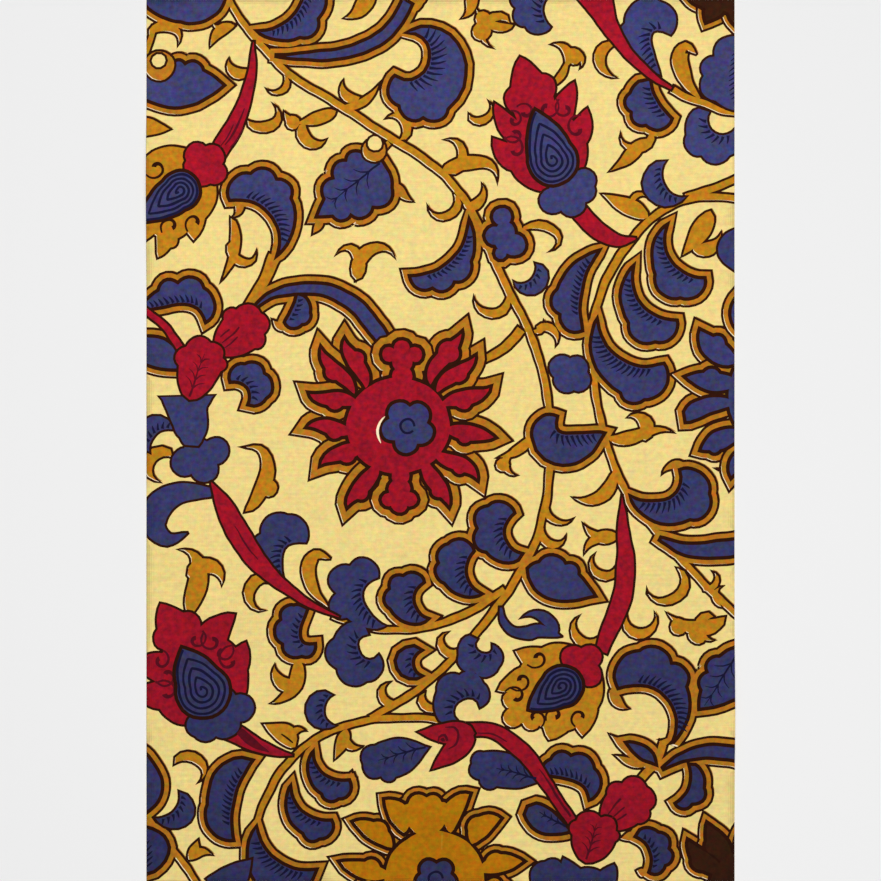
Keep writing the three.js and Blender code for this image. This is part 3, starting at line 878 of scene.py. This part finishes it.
def all_groups():
    """The whole print: vines and rings at the back, then leaves, stems, buds, flowers and loose lines."""
    ochre = (bands(VINES, "ochre") + leaves(RINGED, "amber", ring=RING) + bands(BANDS, "amber", ring=RING)
             + horns(HORNS, "ochre") + horns(RING_HOOKS, "amber") + clump("ochre", KNOBS)
             + clump("amber", RINGED_CUP, ring=RING))
    ringed_blue = (leaves(RINGED, "blue", INK_LINE) + bands(BANDS, "blue", INK_LINE)
                   + clump("blue", RINGED_CUP, INK_LINE))
    solid_blue = (leaves(PLAIN, "blue") + bands(SCROLLS, "blue") + horns(SCROLL_TIPS, "blue")
                  + clump("blue", [LEAF_JOINT]))
    drawn = [ochre, ringed_blue, solid_blue, combs(RINGED + PLAIN)]
    for x, y, radius, gap_x, gap_y, gap in HOLES:
        drawn += [clump("amber", [(x, y, radius)]), clump("ground", [(gap_x, gap_y, gap)])]
    drawn += [clump("blue", circles) for circles in CUPS]
    drawn.append(bands([TULIP], "blue"))
    drawn += [bands(TAPERS, "red"), leaves(HEAD, "red"), leaves(CLOVERS, "red"), leaves(HEARTS, "red")]
    for ink, bx, by, tx, ty, bow, pairs, spread in VEINED:
        drawn.append(strokes(veins(place(bx, by), place(tx, ty), bow, pairs, spread), ink))
    for facts in BUDS:
        drawn += bud(*facts)
    for facts in FLOWERS:
        drawn += open_flower(*facts)
    for x, y, radius, start in CENTRES:
        scallops = flower(place(x, y), radius, lobes=5, start=start, depth=0.2)
        drawn.append([Shape("blue", scallops, INK_LINE, misfit=0.5 + 0j)])
        drawn.append(strokes([ribbon(round_patch(place(x, y), EYE_RADIUS), EYE_WIDTHS)], "navy"))
    for ink, widths, *stops in INNER_LINES:
        drawn.append(strokes([ribbon([place(*stop) for stop in stops], widths)], ink))
    return drawn


GROUPS = all_groups()
print("the print has", sum(len(group) for group in GROUPS), "shapes in", len(GROUPS), "groups")

# %% [markdown]
# ## Which ink covers a place
# A printer's screens lay each colour over the last, and this helper does the same for any place
# on the cloth: it goes through the groups from back to front and keeps the last ink it meets.
# Cutting one mesh with another could do this too, but it would be slow with so many curves.

# %% Paint
def inside(outline, places):
    """True where a place is inside a closed outline that runs anticlockwise."""
    start, end = outline, np.roll(outline, -1)
    y = places.imag[:, None]
    up = (start.imag <= y) & (end.imag > y)
    down = (start.imag > y) & (end.imag <= y)
    cross = ((end - start) * np.conj(places[:, None] - start)).imag
    return (np.sum(up & (cross < 0), axis=1) - np.sum(down & (cross > 0), axis=1)) > 0


def paint(groups, places):
    """The ink at every place. In a group, key lines join round all its shapes."""
    inks = np.full(len(places), "ground", dtype=object)
    for group in groups:
        outer = np.zeros(len(places), bool)
        core = np.zeros(len(places), bool)
        ink = np.full(len(places), "", dtype=object)
        for shape in group:
            curve = np.concatenate(shape.curves)
            near = np.flatnonzero((places.real > curve.real.min()) & (places.real < curve.real.max())
                                  & (places.imag > curve.imag.min()) & (places.imag < curve.imag.max()))
            outer[near] |= inside(shape.outer, places[near])
            core[near] |= inside(shape.core, places[near])
            ink[near[inside(shape.inked, places[near])]] = shape.ink
        # Only the bare ground shows the ochre that misses its outline.
        spill = ~outer & (inks == "ground") & ((ink == "ochre") | (ink == "amber"))
        inks[spill] = "spill"
        inks[outer] = "line"
        inks[core] = np.where(ink[core] == "", "bare", ink[core])
    return inks


print("the middle of the cloth is", paint(GROUPS, np.array([place(0, 0)]))[0])

# %% [markdown]
# ## From shapes to coloured triangles
# Blender's Delaunay triangulation fits a net of triangles to all the curves at once. Then each
# triangle asks which ink covers its middle. Lines where the ink doesn't change are dropped, and
# the net is made once more with an even grid of points between the curves, so that the cloth
# can bend everywhere.

# %% Triangulate
GRID_STEP = 3.5          # between the points that fill the net between the curves
RIM_GAP = 0.5            # what the last of them keep from the cut edge
SAME_PLACE = 1e-5        # places nearer than this are one corner of the net


def triangulate(points, links):
    """A net of triangles through all the points and links, cut off at the edge of the cloth."""
    places, _, triangles, *_ = delaunay_2d_cdt(
        [Vector((p.real, p.imag)) for p in points], links, [], 0, SAME_PLACE, False)
    places = np.array([place(p.x, p.y) for p in places])
    triangles = np.array(triangles)
    middles = places[triangles].mean(axis=1)
    on_cloth = (abs(middles.real) < CLOTH_WIDTH / 2) & (abs(middles.imag) < CLOTH_LENGTH / 2)
    return places, triangles[on_cloth], middles[on_cloth]


def printed_net(groups):
    """Places, triangles and the ink of each triangle."""
    half_width, half_length = CLOTH_WIDTH / 2, CLOTH_LENGTH / 2
    rim = np.array([place(-half_width, -half_length), place(half_width, -half_length),
                    place(half_width, half_length), place(-half_width, half_length)])
    points, links = [], []
    for curve in [rim] + [curve for group in groups for shape in group for curve in shape.curves]:
        first, count = len(points), len(curve)
        points.extend(curve)
        links.extend((first + i, first + (i + 1) % count) for i in range(count))
    places, triangles, middles = triangulate(points, links)
    inks = paint(groups, middles)
    sides = {}
    for index, (a, b, c) in enumerate(triangles):
        for pair in ((a, b), (b, c), (c, a)):
            sides.setdefault((min(pair), max(pair)), []).append(index)
    kept = [pair for pair, both in sides.items() if len(both) == 1 or inks[both[0]] != inks[both[1]]]
    used = sorted({corner for pair in kept for corner in pair})
    number = {corner: i for i, corner in enumerate(used)}
    across = np.arange(-half_width + GRID_STEP, half_width - RIM_GAP, GRID_STEP)
    up = np.arange(-half_length + GRID_STEP, half_length - RIM_GAP, GRID_STEP)
    points = [places[corner] for corner in used] + [place(x, y) for x in across for y in up]
    places, triangles, middles = triangulate(points, [(number[a], number[b]) for a, b in kept])
    return places, triangles, paint(groups, middles)


PLACES, TRIANGLES, INKS = printed_net(GROUPS)
print("the printed face has", len(TRIANGLES), "triangles")

# %% [markdown]
# ## The folds
# The cloth could be draped by simulation, but it lies flat with a few low creases, so each
# fold is given as a rounded ridge along a line. The same folds are in the plain model
# of this part, so the printed cloth lies exactly where that one does.

# %% Folds
# Each fold runs from one place to another, with its height and how far it reaches to both sides.
PRESSED_CREASES = [
    (place(43, 170), place(43, 124), 0.7, 4),
    (place(41, 124), place(58, 124), 0.6, 4),
    (place(-5, -104), place(-5, -119), 0.6, 4),
]
SOFT_SWELLS = [
    (place(-118, 96), place(-38, 52), 1.0, 30),
    (place(22, -8), place(64, 62), 0.8, 26),
    (place(-60, -62), place(-6, -84), 0.8, 24),
    (place(124, -104), place(70, -76), 1.0, 28),
]


def lift(places):
    """How far the folds raise the cloth off the table, in millimetres."""
    height = np.zeros(len(places))
    for start, end, rise, reach in PRESSED_CREASES + SOFT_SWELLS:
        span = end - start
        share = np.clip(((places - start) * np.conj(span)).real / abs(span) ** 2, 0, 1)
        away = abs(places - start - share * span)
        ridge = rise * (0.5 + 0.5 * np.cos(np.pi * np.minimum(away / reach, 1)))
        height = np.maximum(height, ridge)
    return height


print("the folds rise up to", round(float(lift(PLACES).max()), 2), "mm")

# %% [markdown]
# ## The colours of the inks
# A dye on cotton is never one flat colour. It pools in slow clouds and it drifts in hue from thread
# to thread. Every ink also gets a painted shade that darkens it towards the cloth's lower edge, where
# the light falls off, the dark inks more than the pale ground. So each ink has one colour and three amounts.

# %% Ink colours
# Red, green and blue on screen, then the clouds, the grain and the painted shade towards the lower edge.
INK_COLOURS = {
    # Red, green and blue on screen, then the clouds, the grain and the painted shade towards the lower edge.
    "ground": ((240, 215, 137), 0.10, 0.5, 0.11),
    "bare": ((255, 236, 196), 0.05, 0.3, 0.08),
    "ochre": ((191, 128, 26), 0.30, 1.2, 0.18),
    "amber": ((183, 119, 30), 0.30, 1.2, 0.18),
    "spill": ((176, 124, 58), 0.30, 1.0, 0.15),
    "line": ((50, 19, 6), 0.40, 1.0, 0.35),
    "blue": ((62, 64, 112), 0.50, 1.6, 0.45),
    "violet": ((64, 64, 108), 0.50, 1.4, 0.40),
    "navy": ((24, 22, 56), 0.40, 1.0, 0.35),
    "wine": ((92, 14, 30), 0.40, 1.2, 0.30),
    "red": ((163, 20, 40), 0.40, 1.5, 0.30),
    "tan": ((184, 118, 8), 0.30, 1.0, 0.18),
    "brown": ((58, 28, 12), 0.40, 1.2, 0.30),
}


def linear(colour):
    """Screen colour, 0 to 255, as the linear numbers that shaders use."""
    return [((c / 255 + 0.055) / 1.055) ** 2.4 if c > 10 else c / 255 / 12.92 for c in colour] + [1.0]


print("there are", len(INK_COLOURS), "inks on the face")

# %% [markdown]
# ## How an ink is mixed
# Each ink is its own material slot. It could be one material with a painted image, but nodes
# that read the place on the cloth need no image and stay the same wherever the mesh is cut.
# Each layer of noise makes the colour a little brighter or darker, faint streaks run along the
# weft, and the threads give all the inks a fine bump.

# %% Ink materials
THREAD_PITCH = 0.78 * MM
THREAD_HEIGHT = 0.06 * MM
THREAD_SHARE = 0.30                  # how strongly the threads turn the light
CLOUD_SCALE = (55, 55, 55)           # slow clouds of dye
GRAIN_SCALE = (620, 620, 620)        # drift of hue from thread to thread
STREAK_SCALE = (110, 1300, 110)      # streaks along the weft
STREAKS = 0.22
# Painted shade of the light's falloff: the inks darken from the first of these places to the second.
PAINTED_SHADE_FROM, PAINTED_SHADE_TO = 0.11, -0.14     # places up the cloth, in metres


def add(nodes, kind, **values):
    """A new node, with each value put on the socket or the property of that name."""
    node = nodes.new(kind)
    for name, value in values.items():
        if name in node.inputs:
            node.inputs[name].default_value = value
        else:
            setattr(node, name, value)
    return node


def ink_material(name, colour, clouds, grain, painted_falloff):
    """Matt dyed cotton: one colour times clouds, grain, streaks and a painted shade towards the lower edge,
    with threads as bump.
    """
    material = bpy.data.materials.new(name)
    material.use_nodes = True
    nodes, links = material.node_tree.nodes, material.node_tree.links
    shader = nodes["Principled BSDF"]
    shader.inputs["Roughness"].default_value = 0.86
    shader.inputs["Specular IOR Level"].default_value = 0.06
    shader.inputs["Sheen Weight"].default_value = 0.02
    shader.inputs["Sheen Roughness"].default_value = 0.5
    places = nodes.new("ShaderNodeTexCoord").outputs["Object"]
    split = nodes.new("ShaderNodeSeparateXYZ")
    links.new(places, split.inputs["Vector"])

    def noise(scale, detail, output):
        """Noise over the cloth, finer where the scale along an axis is higher."""
        stretch = add(nodes, "ShaderNodeMapping", Scale=scale)
        pattern = add(nodes, "ShaderNodeTexNoise", Scale=1.0, Detail=detail)
        links.new(places, stretch.inputs["Vector"])
        links.new(stretch.outputs["Vector"], pattern.inputs["Vector"])
        return pattern.outputs[output]

    def multiplied(base, source, amount):
        """The colour base times one, more or less as the source is above or below one half."""
        spread = add(nodes, "ShaderNodeVectorMath", operation="MULTIPLY_ADD")
        spread.inputs[1].default_value = (amount, amount, amount)
        spread.inputs[2].default_value = (1 - amount / 2, 1 - amount / 2, 1 - amount / 2)
        links.new(source, spread.inputs[0])
        product = add(nodes, "ShaderNodeVectorMath", operation="MULTIPLY")
        links.new(base, product.inputs[0])
        links.new(spread.outputs[0], product.inputs[1])
        return product.outputs[0]

    dye = nodes.new("ShaderNodeRGB")
    dye.outputs[0].default_value = linear(colour)
    shade = multiplied(dye.outputs[0], noise(CLOUD_SCALE, 3.0, "Fac"), clouds)
    shade = multiplied(shade, noise(GRAIN_SCALE, 2.0, "Color"), grain)
    shade = multiplied(shade, noise(STREAK_SCALE, 2.0, "Fac"), STREAKS)
    # Painted shade: the colour darkens towards the cloth's lower edge, where the light falls off.
    painted_shade_ramp = add(nodes, "ShaderNodeMapRange")
    # Its sockets 1 to 4 are From Min, From Max, To Min and To Max.
    for number, value in enumerate((PAINTED_SHADE_FROM, PAINTED_SHADE_TO, 0.5, 0.5 - painted_falloff), start=1):
        painted_shade_ramp.inputs[number].default_value = value
    links.new(split.outputs["Y"], painted_shade_ramp.inputs[0])
    shade = multiplied(shade, painted_shade_ramp.outputs[0], 1.0)
    links.new(shade, shader.inputs["Base Color"])

    def wave(axis):
        """Ridges across one axis, one for each thread."""
        turn = add(nodes, "ShaderNodeMath", operation="MULTIPLY")
        turn.inputs[1].default_value = 2 * math.pi / THREAD_PITCH
        links.new(split.outputs[axis], turn.inputs[0])
        sine = add(nodes, "ShaderNodeMath", operation="SINE")
        links.new(turn.outputs[0], sine.inputs[0])
        return sine.outputs[0]

    threads = add(nodes, "ShaderNodeMath", operation="ADD")
    links.new(wave("X"), threads.inputs[0])
    links.new(wave("Y"), threads.inputs[1])
    bump = add(nodes, "ShaderNodeBump", Strength=THREAD_SHARE, Distance=THREAD_HEIGHT)
    links.new(threads.outputs[0], bump.inputs["Height"])
    links.new(bump.outputs["Normal"], shader.inputs["Normal"])
    return material


MATERIALS = {ink: ink_material("ink_" + ink, *facts) for ink, facts in INK_COLOURS.items()}
print("made", len(MATERIALS), "ink materials")

# %% [markdown]
# ## The underside
# Dye pressed onto thin cotton soaks part of the way through, so the back shows a paler copy of
# the front. Five pale inks are enough for it: each stands for a family of the inks on the
# face, thinned with the colour of the bare cloth.

# %% Pale inks of the underside
FAMILIES = {
    "ground": ("ground", "bare"),
    "ochre": ("ochre", "amber", "spill", "tan"),
    "blue": ("blue", "violet", "navy"),
    "red": ("red", "wine"),
    "line": ("line", "brown"),
}
SOAKED = {"ground": 0.6, "ochre": 0.4, "blue": 0.35, "red": 0.35, "line": 0.3}
BACK_CLOUDS, BACK_GRAIN = 0.2, 0.6

BACK_OF = {}
for family, inks in FAMILIES.items():
    own, bare, share = INK_COLOURS[family], INK_COLOURS["bare"][0], SOAKED[family]
    paler = tuple(round(share * c + (1 - share) * b) for c, b in zip(own[0], bare))
    # The underside gets half of its family's painted shade towards the lower edge.
    MATERIALS["back_" + family] = ink_material("back_" + family, paler, BACK_CLOUDS, BACK_GRAIN, own[3] / 2)
    BACK_OF.update({ink: "back_" + family for ink in inks})
print("the underside has", len(FAMILIES), "pale inks")

# %% [markdown]
# ## How the cloth unfolds
# A flat sheet unfolds easily, so its texture coordinates are set here and not guessed by an
# operator: the face in one half of the square, the underside in the other, and the walls of the
# cut edge as a thin frame round the face.

# %% Texture coordinates
UV_EDGE = 0.02           # what the face and the underside keep from the edges of their halves


def unfold(mesh, count, walls_from):
    """Lay the face and the underside side by side in the texture square, with the walls round the face."""
    layer = mesh.uv_layers.new(name="OFBake")
    half = np.array([CLOTH_WIDTH / 2, CLOTH_LENGTH / 2]) * MM
    for polygon in mesh.polygons:
        on_wall = polygon.index >= walls_from
        for loop in polygon.loop_indices:
            corner = mesh.loops[loop].vertex_index
            share = np.array(mesh.vertices[corner].co[:2]) / half
            below = corner >= count
            across, up = share * (0.5 - UV_EDGE)
            if on_wall and below:
                across, up = share * (0.5 - UV_EDGE / 2)
            aside = 0.5 if below and not on_wall else 0.0
            layer.data[loop].uv = (aside + 0.25 + across / 2, 0.5 + up)


print("the face fills", round(100 * (0.5 - UV_EDGE) * (1 - 2 * UV_EDGE)), "% of the texture square")

# %% [markdown]
# ## The cloth's mesh
# The triangles are lifted by the folds and get their thickness as a closed sheet: the printed
# face on top, the same net under it turned over, and a narrow wall all round the cut edge. A
# Solidify modifier could do it, but every triangle of the underside needs a pale ink of its own.

# %% Build the cloth
def cloth_mesh():
    """One closed sheet: the printed face, the same net turned over below it, and its walls."""
    count = len(PLACES)
    height = lift(PLACES)
    flat = np.stack([PLACES.real, PLACES.imag], axis=1)
    top = np.column_stack([flat, height + CLOTH_THICKNESS]) * MM
    under = np.column_stack([flat, height]) * MM
    faces = [tuple(int(i) for i in triangle) for triangle in TRIANGLES]
    slots = list(MATERIALS)
    marks = [slots.index(ink) for ink in INKS]
    back_marks = [slots.index(BACK_OF[ink]) for ink in INKS]
    # A side that only one triangle has lies on the rim.
    rim = {}
    for triangle in faces:
        for a, b in zip(triangle, triangle[1:] + triangle[:1]):
            if (b, a) in rim:
                del rim[(b, a)]
            else:
                rim[(a, b)] = True
    turned = [tuple(i + count for i in reversed(face)) for face in faces]
    walls = [(b, a, a + count, b + count) for a, b in rim]
    mesh = bpy.data.meshes.new("printed_cotton_cloth")
    mesh.from_pydata(np.concatenate([top, under]).tolist(), [], faces + turned + walls)
    for ink in slots:
        mesh.materials.append(MATERIALS[ink])
    cut_edge = slots.index("back_ground")
    mesh.polygons.foreach_set("material_index", marks + back_marks + [cut_edge] * len(walls))
    mesh.polygons.foreach_set("use_smooth", [True] * (2 * len(faces)) + [False] * len(walls))
    mesh.update()
    unfold(mesh, count, 2 * len(faces))
    return mesh


cloth = bpy.data.objects.new("printed_cotton_cloth", cloth_mesh())
bpy.context.scene.collection.objects.link(cloth)
print("the cloth has", len(cloth.data.polygons), "faces")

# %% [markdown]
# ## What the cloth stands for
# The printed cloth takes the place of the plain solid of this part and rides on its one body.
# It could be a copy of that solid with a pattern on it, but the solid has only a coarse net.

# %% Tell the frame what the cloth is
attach(cloth, "root")
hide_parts("printed_cloth")
print(cloth.name, "rides on the root with", len(cloth.data.materials), "materials")

# %% [markdown]
# ## The table
# The cloth lies on a pale matt table top, which is only there for the picture. A plane is
# enough for it, because the camera never sees its edge or its thickness.

# %% Table
TABLE_COLOUR = (236, 236, 236)

bpy.ops.mesh.primitive_plane_add(size=3.0, location=(0, 0, 0))
floor = bpy.context.object
floor.name = "table_top"
pale = bpy.data.materials.new("pale_table")
pale.use_nodes = True
pale.node_tree.nodes["Principled BSDF"].inputs["Base Color"].default_value = linear(TABLE_COLOUR)
pale.node_tree.nodes["Principled BSDF"].inputs["Roughness"].default_value = 0.9
floor.data.materials.append(pale)
print("the table top is", floor.dimensions.x, "m wide")

# %% [markdown]
# ## Light and camera
# Two broad lights, an even grey world and a camera straight over the cloth. A sun lamp would
# give hard shadows, and cloth as flat as this only shows its creases in soft light.

# %% Lights and camera
PICTURE_POINTS = 881     # across the picture
POINT_WIDTH = 0.3401     # of one of them, in millimetres on the cloth
FRAME_WIDTH = PICTURE_POINTS * POINT_WIDTH * MM
LENS, SENSOR = 50.0, 36.0
ROOM_LIGHT = 0.29


def soft_light(name, location, size, power):
    light = bpy.data.lights.new(name, "AREA")
    light.size = size
    light.energy = power
    holder = bpy.data.objects.new(name, light)
    holder.location = location
    holder.rotation_euler = (-Vector(location)).to_track_quat("-Z", "Y").to_euler()
    bpy.context.scene.collection.objects.link(holder)


soft_light("overhead", (-0.08, 0.16, 1.1), size=0.9, power=8.5)
soft_light("fill", (0.4, -0.5, 1.0), size=0.9, power=3.8)
world = bpy.data.worlds.new("studio")
bpy.context.scene.world = world
world.use_nodes = True
world.node_tree.nodes["Background"].inputs["Color"].default_value = (1, 1, 1, 1)
world.node_tree.nodes["Background"].inputs["Strength"].default_value = ROOM_LIGHT
bpy.context.scene.view_settings.view_transform = "Standard"

camera_data = bpy.data.cameras.new("camera")
camera_data.lens = LENS
camera_data.sensor_width = SENSOR
camera_data.clip_start = 0.01
camera = bpy.data.objects.new("camera", camera_data)
camera.location = (0.0, 0.0, CLOTH_THICKNESS * MM + FRAME_WIDTH * LENS / SENSOR)
bpy.context.scene.collection.objects.link(camera)
bpy.context.scene.camera = camera
print("the camera is", round(camera.location.z, 4), "m over the table")
